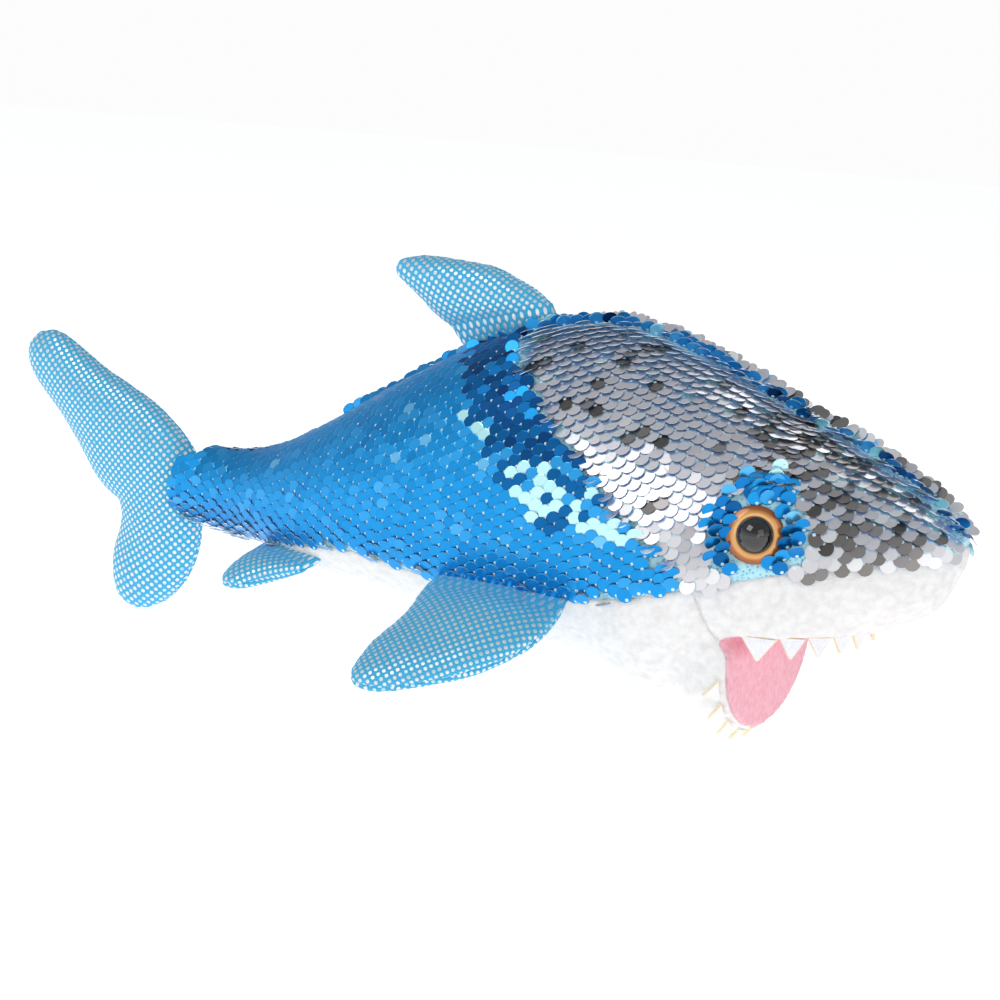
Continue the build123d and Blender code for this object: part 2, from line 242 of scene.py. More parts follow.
sewn_into = {node: cloth for cloth, nodes in CLOTHS.items() for node in nodes}
cad_skin, owners = surface_of(sewn_into)
order = list(CLOTHS)
cloth_of = []
for face in skin.data.polygons:
    nearest = cad_skin.find_nearest(face.center)[2]
    cloth = sewn_into[owners[nearest]]
    x, y, z = face.center / MM
    ahead, above = x - FOLD.x / MM, z - FOLD.z / MM
    over_fold = ahead > -LINING_BACK and above > 0 and abs(y) < LINING_HALF
    inside_jaw = ahead > JAW_START and face.normal.x > JAW_FACING
    if cloth == "belly_plush" and (over_fold or inside_jaw):
        cloth = "mouth_lining"
    elif cloth == "mouth_lining" and ahead < 0 and above < THROAT_TOP:
        cloth = "belly_plush"
    cloth_of.append(order.index(cloth))
for cloth in order:
    skin.data.materials.append(bpy.data.materials.new(cloth))
skin.data.polygons.foreach_set("material_index", cloth_of)

shaped = bmesh.new()
shaped.from_mesh(skin.data)
shaped.verts.ensure_lookup_table()
shaped.normal_update()
seam = {v for v in shaped.verts if len({f.material_index for f in v.link_faces}) > 1}
beside = {e.other_vert(v) for v in seam for e in v.link_edges} - seam
for _ in range(10):
    straight = {}
    for v in seam:
        next_to = [e.other_vert(v).co for e in v.link_edges if e.other_vert(v) in seam]
        if len(next_to) == 2:
            straight[v] = v.co * 0.5 + (next_to[0] + next_to[1]) * 0.25
    for v, place in straight.items():
        v.co = place
for group, depth in ((seam, SEAM_DEPTH), (beside, SEAM_DEPTH * BESIDE_SHARE)):
    for v in group:
        v.co -= v.normal * depth * MM
for v in shaped.verts:
    kinds = {order[f.material_index] for f in v.link_faces}
    if "belly_plush" in kinds or "lip_plush" in kinds:
        lump = noise.fractal(v.co * LUMP_SCALE, 1.0, 2.0, 3)
        pile = noise.noise(v.co * PILE_SCALE)
        v.co += v.normal * (lump * LUMP + pile * PILE) * MM
shaped.to_mesh(skin.data)
shaped.free()
bpy.ops.object.mode_set(mode="EDIT")
bpy.ops.mesh.separate(type="MATERIAL")
bpy.ops.object.mode_set(mode="OBJECT")
cloths = {}
for piece in list(bpy.context.selected_objects):
    name = piece.data.materials[piece.data.polygons[0].material_index].name
    piece.name = name
    piece.vertex_groups.clear()
    piece.data.materials.clear()
    apply_modifier(piece, "SOLIDIFY", thickness=CLOTH_THICK * MM, offset=-1)
    cloths[name] = piece


def pile_material(name, colour, shade, pile, sheen):
    """Brushed knit: soft and matt, with a pale rim of standing fibre and slight clumping."""
    made, tree = new_material(name)
    where = add_node(tree, "ShaderNodeTexCoord").outputs["Object"]
    clumps = add_node(tree, "ShaderNodeTexNoise", {
        "Vector": where, "Scale": 1 / (4 * pile * MM), "Detail": 4.0})
    fibres = add_node(tree, "ShaderNodeTexNoise", {"Vector": where, "Scale": 1 / (pile * MM), "Detail": 3.0})
    ramp = add_node(tree, "ShaderNodeValToRGB", {"Fac": clumps.outputs["Fac"]})
    set_ramp(ramp, [(0.3, shade), (0.62, colour)])
    height = add_node(tree, "ShaderNodeMath", {0: clumps.outputs["Fac"], 1: fibres.outputs["Fac"]},
                      operation="ADD")
    bump = add_node(tree, "ShaderNodeBump", {"Height": height.outputs["Value"], "Distance": 0.35 * MM,
                                             "Strength": 0.55})
    coat = add_node(tree, "ShaderNodeBsdfPrincipled", {
        "Base Color": ramp.outputs["Color"], "Roughness": 0.95, "Sheen Weight": sheen, "Sheen Roughness": 0.5,
        "Specular IOR Level": 0.15, "Normal": bump.outputs["Normal"]})
    add_node(tree, "ShaderNodeOutputMaterial", {"Surface": coat.outputs["BSDF"]})
    return made


white_plush = pile_material("white_short_pile_plush", "#F0EFEE", "#E2E0DF", 0.7, 0.4)
for name in ("belly_plush", "lip_plush"):
    cloths[name].data.materials.append(white_plush)
pink_knit = pile_material("pink_brushed_knit", "#F6BCC9", "#EBA4B4", 0.5, 0.35)
cloths["mouth_lining"].data.materials.append(pink_knit)

aqua_net, tree = new_material("aqua_nylon_net")
where = add_node(tree, "ShaderNodeTexCoord").outputs["Object"]
mesh_holes = add_node(tree, "ShaderNodeTexVoronoi", {"Vector": where, "Scale": 1 / (1.1 * MM)})
ramp = add_node(tree, "ShaderNodeValToRGB", {"Fac": mesh_holes.outputs["Distance"]})
set_ramp(ramp, [(0.15, "#5FB7DA"), (0.5, "#B7E8F4")])
bump = add_node(tree, "ShaderNodeBump", {"Height": mesh_holes.outputs["Distance"], "Distance": 0.25 * MM})
coat = add_node(tree, "ShaderNodeBsdfPrincipled", {
    "Base Color": ramp.outputs["Color"], "Roughness": 0.55, "Sheen Weight": 0.3,
    "Normal": bump.outputs["Normal"]})
add_node(tree, "ShaderNodeOutputMaterial", {"Surface": coat.outputs["BSDF"]})
cloths["sequin_net"].data.materials.append(aqua_net)

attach(cloths["sequin_net"], "body")
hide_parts("sequin_panel_left", "sequin_panel_right")
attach(cloths["lip_plush"], "body")
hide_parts("lip_band")
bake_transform(cloths["belly_plush"])
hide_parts("belly_panel", "jaw_plush", "jaw_stuffing")
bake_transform(cloths["mouth_lining"])
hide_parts("palate_lining", "jaw_lining")

# --- sequins -----------------------------------------------------------------------------
# Film discs punched at 5 mm and sewn by one hole in rows, so that each can flip over its row.
# One face is blue foil and the other silver: the back half shows blue, the head silver, and
# round the eyes and along the border the discs stand between the two or are missing.
DISC = 2.5                # radius
DISC_THICK = 0.14
DISC_RIM, DISC_DISH = 0.28, 0.1   # width and rise of the disc's pressed rim
HOLE_OFF = 1.6            # from the disc's middle to its hole
PITCH, ROW = 4.3, 3.2     # along a row, and from row to row
ROW_SLOPE = math.radians(28)
LIFT = 0.75               # of the hole over the net
EYE_CLEAR, EYE_RING = 8.0, 15.5
TAIL_CUFF = 11.0          # how far the discs overhang the end of the body, over the tail fin
CUFF_HALF, CUFF_TAPER = 14.0, 0.2      # half height of the overhang, and how much it narrows
ABOVE_EDGE, PAST_EDGE = 0.8, 0.5       # overrun allowed at the lower edge and at the ridge
COLUMN_STEP, COLUMN_POINTS = 2.0, 48   # the side is measured in columns of this many points
THREAD = 0.55             # radius of the thread in the hole
OUTSIDE = 150             # surely outside the body
BORDER_X, BORDER_Z, BORDER_SLANT = 34.0, 118.0, 1.22   # the slanting line where silver starts
BORDER_HALF, BORDER_WANDER = 4.0, 1.5
RING_GAPS, BORDER_GAPS = 0.12, 0.2     # share of discs missing
RIDGE_HALF, RIDGE_START = 6.0, 60.0    # the ruffled ridge, from this far ahead of the tail end
SILVER_TILT, BLUE_TILT = (15, 3), (9, 2)   # degrees: mean and spread
HALF_FLIPPED = 38         # most extra tilt of the discs round the eyes and along the border
RIDGE_TILT, RIDGE_SPREAD = 15, 35
SPIN = math.radians(5)

bpy.ops.object.select_all(action="DESELECT")
bpy.ops.mesh.primitive_circle_add(vertices=14, radius=DISC * MM, fill_type="TRIFAN")
disc = bpy.context.object
disc.name = "sequin_pattern"
bpy.ops.object.mode_set(mode="EDIT")
bpy.ops.mesh.select_all(action="SELECT")
bpy.ops.mesh.extrude_region_move(TRANSFORM_OT_translate={"value": (0, 0, DISC_THICK * MM)})
bpy.ops.mesh.inset(thickness=DISC_RIM * MM, depth=DISC_DISH * MM)
bpy.ops.mesh.select_all(action="SELECT")
bpy.ops.mesh.normals_make_consistent(inside=False)
bpy.ops.object.mode_set(mode="OBJECT")
disc_points = np.array([v.co for v in disc.data.vertices]) / MM
disc_faces = [tuple(p.vertices) for p in disc.data.polygons]
disc_film = [0 if p.normal.z > 0.5 else 1 for p in disc.data.polygons]
bpy.data.objects.remove(disc)

body_tree, body_owners = surface_of(CLOTHS["sequin_net"] + ("belly_panel", "lip_band"))
TAIL_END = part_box("body_stuffing")[0].x / MM
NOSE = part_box("sequin_panel_left")[1].x / MM


def widest_height(x):
    """Height in mm of the widest place of the body at x."""
    best = (0.0, 60.0)
    for z in range(40, 96, 2):
        hit = body_tree.ray_cast(Vector((x, OUTSIDE, z)) * MM, Vector((0, -1, 0)))[0]
        if hit is not None:
            best = max(best, (hit.y, z))
    return best[1]


stretch = np.arange(TAIL_END + 1, NOSE - 3, 6.0)
middle_line = np.polyfit(stretch, [widest_height(x) for x in stretch], 3)


def on_body(x, turn):
    """Point in mm and normal on the body's skin, and whether sequins cover it there.

    The turn goes round the body from its ridge, and is positive on the left."""
    way = Vector((0, math.sin(turn), math.cos(turn)))
    centre = Vector((x, 0, np.polyval(middle_line, x))) * MM
    hit, normal, face, _ = body_tree.ray_cast(centre + way * OUTSIDE * MM, -way)
    if hit is None or (hit - centre).dot(way) < 0:
        return centre / MM, way, False
    return hit / MM, normal, body_owners[face] in CLOTHS["sequin_net"]


def side_columns(side):
    """The sequined side as columns: run along it, then for each point height up, place, normal."""
    columns, run, before = [], 0.0, None
    for x in np.arange(TAIL_END + 0.5, NOSE - 0.4, COLUMN_STEP):
        low, high = math.radians(50), math.radians(160)
        for _ in range(14):
            half = (low + high) / 2
            if on_body(x, side * half)[2]:
                low = half
            else:
                high = half
        found = [on_body(x, side * turn)[:2] for turn in np.linspace(0.0, low, COLUMN_POINTS)]
        places = np.array([p for p, _ in found])
        normals = np.array([n for _, n in found])
        arc = np.concatenate([[0], np.cumsum(np.linalg.norm(np.diff(places, axis=0), axis=1))])
        level = int(np.argmax(np.abs(places[:, 1])))
        if before is not None:
            run += float(np.linalg.norm(places[level] - before))
        before = places[level]
        columns.append((run, (arc[level] - arc)[::-1], places[::-1], normals[::-1]))
    return columns


def place_on(columns, run, height):
    """Place and normal on a side, from the run along it and the height up from its widest line."""
    runs = [c[0] for c in columns]
    if run < runs[0]:
        found = place_on(columns, runs[0], height)
        if found is None:
            return None
        place, normal = found
        beyond = (runs[0] - run) / TAIL_CUFF
        if beyond > 1 - ((place[2] - np.polyval(middle_line, TAIL_END)) / CUFF_HALF) ** 2:
            return None
        return place + np.array((run - runs[0], -place[1] * CUFF_TAPER * beyond, 0)), normal
    if run > runs[-1]:
        return None
    k = max(1, min(int(np.searchsorted(runs, run)), len(runs) - 1))
    f = (run - runs[k - 1]) / (runs[k] - runs[k - 1])
    both = []
    for c in (columns[k - 1], columns[k]):
        if height < c[1][0] - ABOVE_EDGE or height > c[1][-1] + PAST_EDGE:
            return None
        both.append([np.array([np.interp(height, c[1], c[n][:, i]) for i in range(3)]) for n in (2, 3)])
    place = both[0][0] * (1 - f) + both[1][0] * f
    normal = both[0][1] * (1 - f) + both[1][1] * f
    return place, normal / np.linalg.norm(normal)


def film_material(name, stops, rough):
    """Vacuum-metallised polyester film: mirror-like, with one value to each disc that picks its colour on the
    ramp and paints the reflections and glints it shows, and a pale thread in its hole.
    """
    made, tree = new_material(name)
    tone_with_painted_reflection = add_node(tree, "ShaderNodeAttribute", attribute_name="tone_with_painted_reflection")
    ramp = add_node(tree, "ShaderNodeValToRGB", {"Fac": tone_with_painted_reflection.outputs["Fac"]})
    set_ramp(ramp, stops)
    spot = add_node(tree, "ShaderNodeUVMap", uv_map="disc")
    away = add_node(tree, "ShaderNodeVectorMath", {0: spot.outputs["UV"], 1: (0.0, -HOLE_OFF, 0.0)},
                    operation="DISTANCE")
    thread = add_node(tree, "ShaderNodeMath", {0: away.outputs["Value"], 1: THREAD}, operation="LESS_THAN")
    shade = add_node(tree, "ShaderNodeMix", data_type="RGBA")
    tree.links.new(thread.outputs["Value"], shade.inputs[0])
    tree.links.new(ramp.outputs["Color"], shade.inputs[6])
    shade.inputs[7].default_value = linear("#D3F2FA")
    shine = add_node(tree, "ShaderNodeMath", {0: 0.8, 1: thread.outputs["Value"]}, operation="SUBTRACT",
                     use_clamp=True)
    coat = add_node(tree, "ShaderNodeBsdfPrincipled", {
        "Base Color": shade.outputs[2], "Metallic": shine.outputs["Value"], "Roughness": rough})
    add_node(tree, "ShaderNodeOutputMaterial", {"Surface": coat.outputs["BSDF"]})
    return made


# The ramps run from painted dark reflections, through the film's own colour, to painted white glints.
blue_film = film_material("blue_metallised_film", [
    (0.0, "#001A5E"), (0.25, "#00508C"), (0.5, "#0F7FCB"), (0.72, "#1C98E0"), (0.86, "#58B9F4"),
    (1.0, "#C4FAFF")], 0.3)
silver_film = film_material("silver_metallised_film", [
    (0.0, "#4A4846"), (0.35, "#8E8985"), (0.7, "#E0DDE1"), (0.85, "#F0EFF2"), (1.0, "#FFFFFF")], 0.28)
chance = random.Random(7)


def silver_tone_with_painted_reflection(x, past, eye_x, shift, pick):
    """Value of a silver disc: the film's even colour behind the eye, with painted grey and dark reflections
    and painted white glints at the face and border.
    """
    # painted grey reflection, common at the face
    if pick < (0.4 if x > eye_x - 12 else 0.045):
        return 0.36 + 0.06 * shift
    # painted dark reflection
    if pick < (0.42 if x > eye_x - 12 else 0.065):
        return 0.1
    # painted white glint, common along the border and at the face
    if pick > (0.8 if past < 14 or x > eye_x else 0.985):
        return 1.0
    # the silver film's own colour
    return 0.78 + 0.05 * shift


def blue_tone_with_painted_reflection(past, z, ring, shift, pick):
    """Value of a blue disc: a painted dark navy reflection under the border's top, painted glints lower down,
    even elsewhere.
    """
    # the half-flipped discs round the eye get a darker painted reflection
    if ring:
        return 0.5 + 0.15 * shift
    # painted dark navy reflection
    if -30 < past and z > 86 and pick < 0.85:
        return 0.27 + 0.07 * shift
    # painted glints among darker painted reflections
    if -36 < past and 66 < z < 97:
        return 1.0 if pick < 0.45 else 0.33 if pick < 0.65 else 0.75
    # the blue film's own colour, with a few paler painted glints
    return 0.88 if pick > 0.98 else 0.7 + 0.035 * shift


for name, side in (("left", 1), ("right", -1)):
    columns = side_columns(side)
    low, high = (Vector(corner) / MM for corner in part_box(f"{name}_eye_pupil"))
    eye = np.array((low + high) / 2)
    all_points, all_faces, films, tones_with_painted_reflection, spots = [], [], [], [], []
    for i in range(-60, 120):
        for j in range(-60, 60):
            along = (i + 0.5 * (j % 2)) * PITCH
            across = j * ROW
            run = along * math.cos(ROW_SLOPE) - across * math.sin(ROW_SLOPE)
            height = along * math.sin(ROW_SLOPE) + across * math.cos(ROW_SLOPE)
            found = place_on(columns, run, height)
            if found is None:
                continue
            place, normal = found
            x, y, z = place
            from_eye = math.hypot(x - eye[0], z - eye[2])
            past = x - BORDER_X - BORDER_SLANT * (BORDER_Z - z)
            shift, draw, pick = chance.gauss(0, 1), chance.random(), chance.random()
            ring = from_eye < EYE_RING + shift
            border = abs(past) < BORDER_HALF
            if from_eye < EYE_CLEAR or (ring and draw < RING_GAPS) or (border and draw < BORDER_GAPS):
                continue
            silver = past + shift * BORDER_WANDER > 0 and not ring
            ridge = abs(y) < RIDGE_HALF and x > TAIL_END + RIDGE_START
            mean, spread = SILVER_TILT if silver else BLUE_TILT
            tilt = mean + spread * shift
            # Each disc gets a value on its film's ramp: the film's own colour, or a painted dark reflection,
            # or a painted glint.
            if silver:
                tone_with_painted_reflection = silver_tone_with_painted_reflection(x, past, eye[0], shift, pick)
            else:
                tone_with_painted_reflection = blue_tone_with_painted_reflection(past, z, ring, shift, pick)
            if ring or border:
                tilt += HALF_FLIPPED * draw
            if ridge:
                tilt += RIDGE_TILT + RIDGE_SPREAD * draw
            forward = np.array((1.0, 0, 0)) - normal * normal[0]
            forward /= np.linalg.norm(forward)
            up = np.cross(forward, normal) * side
            free = up * math.cos(ROW_SLOPE) - forward * math.sin(ROW_SLOPE)
            if silver:
                free = -free
            spin = SPIN * chance.gauss(0, 1)
            sideways = np.cross(free, normal)
            free = free * math.cos(spin) + sideways * math.sin(spin)
            sideways = np.cross(free, normal)
            tilt = math.radians(tilt)
            out = normal * math.cos(tilt) - free * math.sin(tilt)
            free = free * math.cos(tilt) + normal * math.sin(tilt)
            flip = -1 if silver else 1
            centre = place + normal * LIFT + free * HOLE_OFF
            laid = (centre + disc_points[:, :1] * sideways + disc_points[:, 1:2] * free
                    + disc_points[:, 2:] * flip * out)
            first = len(all_points)
            all_points += [tuple(p * MM) for p in laid]
            for face, film in zip(disc_faces, disc_film):
                turned = face[::flip]
                all_faces.append([first + q for q in turned])
                films.append(film)
                spots += [tuple(disc_points[q][:2]) for q in turned]
            tones_with_painted_reflection += [min(max(tone_with_painted_reflection, 0), 1)] * len(disc_points)
    mesh = bpy.data.meshes.new(f"sequins_{name}")
    mesh.from_pydata(all_points, [], all_faces)
    mesh.materials.append(blue_film)
    mesh.materials.append(silver_film)
    mesh.polygons.foreach_set("material_index", films)
    # The per-disc values carry the film's own colour and its painted reflections and glints.
    mesh.attributes.new("tone_with_painted_reflection", "FLOAT", "POINT").data.foreach_set("value", tones_with_painted_reflection)
    mesh.uv_layers.new(name="disc").data.foreach_set("uv", [c for spot in spots for c in spot])
    sequins = bpy.data.objects.new(f"sequins_{name}", mesh)
    bpy.context.collection.objects.link(sequins)
    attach(sequins, "body")

# --- fins --------------------------------------------------------------------------------
# Six stuffed fins cut double from cyan knit with pressed foil dots, sewn round the edge and
# turned, so the edge is a pinched seam with small puckers. The root is sewn into the body.
FIN_VOXEL = 0.9
DOT_PITCH, DOT = 2.0, 0.62        # between dots, and a dot's radius
DOT_BLUR = 0.04                   # share of the pitch over which a dot fades
SEAM_PINCH, PINCH_REACH = 0.7, 0.9
PUCKER, PUCKER_SCALE, PUCKER_FADE = 0.55, 330, 2.2   # height, puckers to the metre, fade from the seam
SWELL, SWELL_SCALE = 0.5, 70
ROOT_TUCK = 5.0                   # how far the root reaches into the body
TUCK_START, TUCK_RUN = 3.0, 4.0   # the tuck starts this far out, and is full this far farther in
FINS = {"caudal_fin": ("right", "left"), "dorsal_fin": ("right", "left")}
for side in ("left", "right"):
    for kind in ("pectoral", "pelvic"):
        FINS[f"{side}_{kind}_fin"] = ("top", "underside")

foil_cloth, tree = new_material("foil_dot_polyester_knit")
weave_place = add_node(tree, "ShaderNodeUVMap", uv_map="cloth").outputs["UV"]
lattice = add_node(tree, "ShaderNodeMapping", {"Vector": weave_place, "Rotation": (0, 0, math.radians(45)),
                                               "Scale": (1 / DOT_PITCH,) * 3})
dots = add_node(tree, "ShaderNodeTexVoronoi", {"Vector": lattice.outputs["Vector"], "Scale": 1.0,
                                               "Randomness": 0.0}, voronoi_dimensions="2D")
edge = DOT / DOT_PITCH
inside = add_node(tree, "ShaderNodeMapRange", {"Value": dots.outputs["Distance"], "From Min": edge + DOT_BLUR,
                                               "From Max": edge - DOT_BLUR})
# The foil dots are painted with the reflections they show: pale cyan, white and pinkish in patches across the
# cloth.
painted_foil_reflection = add_node(tree, "ShaderNodeTexNoise", {"Vector": weave_place, "Scale": 0.35, "Detail": 2.0})
foil = add_node(tree, "ShaderNodeValToRGB", {"Fac": painted_foil_reflection.outputs["Fac"]})
set_ramp(foil, [(0.3, "#9FD9EC"), (0.5, "#E6F1F4"), (0.7, "#F2D9D4")])
knit = add_node(tree, "ShaderNodeTexNoise", {"Vector": weave_place, "Scale": 2.4, "Detail": 3.0})
ground = add_node(tree, "ShaderNodeValToRGB", {"Fac": knit.outputs["Fac"]})
set_ramp(ground, [(0.3, "#1E9FD2"), (0.7, "#46BCE6")])
shade = add_node(tree, "ShaderNodeMix", data_type="RGBA")
tree.links.new(inside.outputs["Result"], shade.inputs[0])
tree.links.new(ground.outputs["Color"], shade.inputs[6])
tree.links.new(foil.outputs["Color"], shade.inputs[7])
metal = add_node(tree, "ShaderNodeMath", {0: inside.outputs["Result"], 1: 0.7}, operation="MULTIPLY")
rough = add_node(tree, "ShaderNodeMapRange", {"Value": inside.outputs["Result"], "To Min": 0.6,
                                              "To Max": 0.3})
relief = add_node(tree, "ShaderNodeMath", {0: inside.outputs["Result"], 1: knit.outputs["Fac"]},
                  operation="ADD")
bump = add_node(tree, "ShaderNodeBump", {"Height": relief.outputs["Value"], "Distance": 0.12 * MM,
                                         "Strength": 0.6})
coat = add_node(tree, "ShaderNodeBsdfPrincipled", {
    "Base Color": shade.outputs[2], "Metallic": metal.outputs["Value"], "Roughness": rough.outputs["Result"],
    "Sheen Weight": 0.2, "Normal": bump.outputs["Normal"]})
add_node(tree, "ShaderNodeOutputMaterial", {"Surface": coat.outputs["BSDF"]})

JOINTS = {j["child"]: j for j in frame["record"]["behaviour"]["joints"]}
for fin, faces_of in FINS.items():
    joint = JOINTS[fin]
    hinge, along = Vector(joint["pos_m"]), Vector(joint["axis"]).normalized()
    low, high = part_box(f"{fin}_stuffing")
    middle = (low + high) / 2
    out = (middle - hinge) - along * (middle - hinge).dot(along)
    out.normalize()
    piece = copy_nodes(fin, [f"{fin}_{face}" for face in faces_of] + [f"{fin}_stuffing"])
    fuse(piece, FIN_VOXEL)
    cloud = np.array([v.co for v in piece.data.vertices])
    centre = Vector(cloud.mean(axis=0))
    thick = Vector(np.linalg.eigh(np.cov((cloud - cloud.mean(axis=0)).T))[1][:, 0]).normalized()
    out = (out - thick * out.dot(thick)).normalized()
    apply_modifier(piece, "SMOOTH", factor=0.5, iterations=3)
    bpy.ops.object.mode_set(mode="EDIT")
    bpy.ops.mesh.select_all(action="SELECT")
    bpy.ops.mesh.bisect(plane_co=centre, plane_no=thick)
    bpy.ops.mesh.mark_seam(clear=False)
    bpy.ops.mesh.select_all(action="SELECT")
    piece.data.uv_layers.new(name="cloth")
    bpy.ops.uv.unwrap(method="CONFORMAL", margin=0.02)
    bpy.ops.object.mode_set(mode="OBJECT")

    mesh = piece.data
    loops_uv = mesh.uv_layers["cloth"].data
    corner = np.array([mesh.vertices[loop.vertex_index].co for loop in mesh.loops]) / MM
    uv = np.array([c.uv for c in loops_uv])
    chordwise = thick.cross(out)
    flat = (corner @ np.array(chordwise)) + 1j * (corner @ np.array(out))
    over = np.zeros(len(mesh.loops), bool)
    for face in mesh.polygons:
        over[list(face.loop_indices)] = (face.center - centre).dot(thick) > 0
    for part, mirror in ((over, -1), (~over, 1)):
        target = mirror * flat[part].real + 1j * flat[part].imag
        source = uv[part, 0] + 1j * uv[part, 1]
        source = source - source.mean()
        turn = (np.conj(source) * (target - target.mean())).sum() / (np.abs(source) ** 2).sum()
        source = source * turn
        uv[part, 0], uv[part, 1] = source.real, source.imag
    loops_uv.foreach_set("uv", uv.ravel())

    shaped = bmesh.new()
    shaped.from_mesh(mesh)
    shaped.normal_update()
    for v in shaped.verts:
        depth = abs((v.co - centre).dot(thick)) / MM
        span = (v.co - hinge).dot(out) / MM
        pucker = noise.noise(v.co * PUCKER_SCALE) * PUCKER * math.exp(-depth / PUCKER_FADE)
        swell = noise.noise(v.co * SWELL_SCALE) * SWELL
        pinch = SEAM_PINCH * max(0, 1 - depth / PINCH_REACH)
        v.co += v.normal * (pucker + swell - pinch) * MM
        if span < TUCK_START and fin != "caudal_fin":
            v.co -= out * ROOT_TUCK * (TUCK_START - span) / TUCK_RUN * MM
    shaped.to_mesh(mesh)
    shaped.free()
    mesh.materials.clear()
    mesh.materials.append(foil_cloth)
    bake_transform(piece)
    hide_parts(*[f"{fin}_{face}" for face in faces_of], f"{fin}_stuffing")

# --- felt teeth --------------------------------------------------------------------------
# Pointed teeth die-cut from white felt and sewn in round both jaws. The cut edges show the
# felt's creamy core. The upper row is sewn to the body and the lower row to the jaw.
TOOTH_LEAN = math.radians(-42)    # the lower teeth lie back over the plush of the jaw
UPPER_RISE, LOWER_SET = 1.1, 0.6  # the upper row is tucked up, and the lower row set back
JAW_HALF, JAW_HIGH = 36.0, 26.5   # half axes of the jaw's rim, which the lower teeth point out from
FACE_SHARE = 0.35                 # a facet smaller than this share of the largest is a cut edge
FUZZ, FUZZ_SCALE = 0.18, 600

felt_face, tree = new_material("white_pressed_felt")
where = add_node(tree, "ShaderNodeTexCoord").outputs["Object"]
wool = add_node(tree, "ShaderNodeTexNoise", {"Vector": where, "Scale": 1 / (0.6 * MM), "Detail": 5.0})
ramp = add_node(tree, "ShaderNodeValToRGB", {"Fac": wool.outputs["Fac"]})
set_ramp(ramp, [(0.3, "#E9E9F2"), (0.65, "#F8F8FC")])
bump = add_node(tree, "ShaderNodeBump", {"Height": wool.outputs["Fac"], "Distance": 0.2 * MM,
                                         "Strength": 0.5})
coat = add_node(tree, "ShaderNodeBsdfPrincipled", {
    "Base Color": ramp.outputs["Color"], "Roughness": 0.92, "Sheen Weight": 0.3,
    "Normal": bump.outputs["Normal"]})
add_node(tree, "ShaderNodeOutputMaterial", {"Surface": coat.outputs["BSDF"]})
felt_edge, tree = new_material("cut_felt_edge")
where = add_node(tree, "ShaderNodeTexCoord").outputs["Object"]
wool = add_node(tree, "ShaderNodeTexNoise", {"Vector": where, "Scale": 1 / (0.4 * MM), "Detail": 4.0})
ramp = add_node(tree, "ShaderNodeValToRGB", {"Fac": wool.outputs["Fac"]})
set_ramp(ramp, [(0.3, "#EFDDB4"), (0.7, "#F8EED6")])
coat = add_node(tree, "ShaderNodeBsdfPrincipled", {"Base Color": ramp.outputs["Color"], "Roughness": 0.95})
add_node(tree, "ShaderNodeOutputMaterial", {"Surface": coat.outputs["BSDF"]})

for row, body in (("upper_teeth", "body"), ("lower_teeth", "jaw")):
    piece = copy_nodes(f"{row}_felt", [row])
    bpy.ops.object.mode_set(mode="EDIT")
    bpy.ops.mesh.select_all(action="SELECT")
    bpy.ops.mesh.dissolve_limited(angle_limit=math.radians(5))
    bpy.ops.object.mode_set(mode="OBJECT")
    if row == "upper_teeth":
        for v in piece.data.vertices:
            v.co.z += UPPER_RISE * MM
    else:
        cut = bmesh.new()
        cut.from_mesh(piece.data)
        waiting = set(cut.verts)
        while waiting:
            tooth, spread = [], [waiting.pop()]
            while spread:
                v = spread.pop()
                tooth.append(v)
                for edge in v.link_edges:
                    other = edge.other_vert(v)
                    if other in waiting:
                        waiting.remove(other)
                        spread.append(other)
            centre = sum((v.co for v in tooth), Vector()) / len(tooth)
            out = Vector((0, centre.y / JAW_HALF ** 2, (centre.z - FOLD.z) / JAW_HIGH ** 2)).normalized()
            foot = centre + out * min((v.co - centre).dot(out) for v in tooth)
            lean = Matrix.Rotation(-TOOTH_LEAN, 3, Vector((1, 0, 0)).cross(out))
            for v in tooth:
                v.co = foot + lean @ (v.co - foot) - Vector((LOWER_SET, 0, 0)) * MM
        cut.to_mesh(piece.data)
        cut.free()
    piece.data.materials.append(felt_face)
    piece.data.materials.append(felt_edge)
    largest = max(face.area for face in piece.data.polygons)
    for face in piece.data.polygons:
        face.material_index = 0 if face.area > largest * FACE_SHARE else 1
    apply_modifier(piece, "BEVEL", width=0.3 * MM, segments=2, limit_method="ANGLE", material=1)
    apply_modifier(piece, "TRIANGULATE")
    apply_modifier(piece, "SUBSURF", levels=2, render_levels=2, subdivision_type="SIMPLE")
    normals = [v.normal.copy() for v in piece.data.vertices]
    for v, normal in zip(piece.data.vertices, normals):
        v.co += normal * noise.noise(v.co * FUZZ_SCALE) * FUZZ * MM
    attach(piece, body)
    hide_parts(row)

# --- eyes --------------------------------------------------------------------------------
# Moulded safety eyes: an amber iris with a gold ring painted round a glossy black dome. The
# stem passes through the cloth, and a washer inside the head locks it.
amber, tree = new_material("amber_moulded_acrylic")
ring_place = add_node(tree, "ShaderNodeAttribute", attribute_name="from_middle")
ring = add_node(tree, "ShaderNodeValToRGB", {"Fac": ring_place.outputs["Fac"]})
set_ramp(ring, [(0.6, "#5A2C0A"), (0.68, "#F5BE78"), (0.78, "#E09A50"), (0.86, "#A8602A"), (1.0, "#8C4A1C")])
where = add_node(tree, "ShaderNodeTexCoord").outputs["Object"]
grain = add_node(tree, "ShaderNodeTexNoise", {"Vector": where, "Scale": 1 / (1.5 * MM), "Detail": 2.0})
bump = add_node(tree, "ShaderNodeBump", {"Height": grain.outputs["Fac"], "Distance": 0.03 * MM,
                                         "Strength": 0.3})
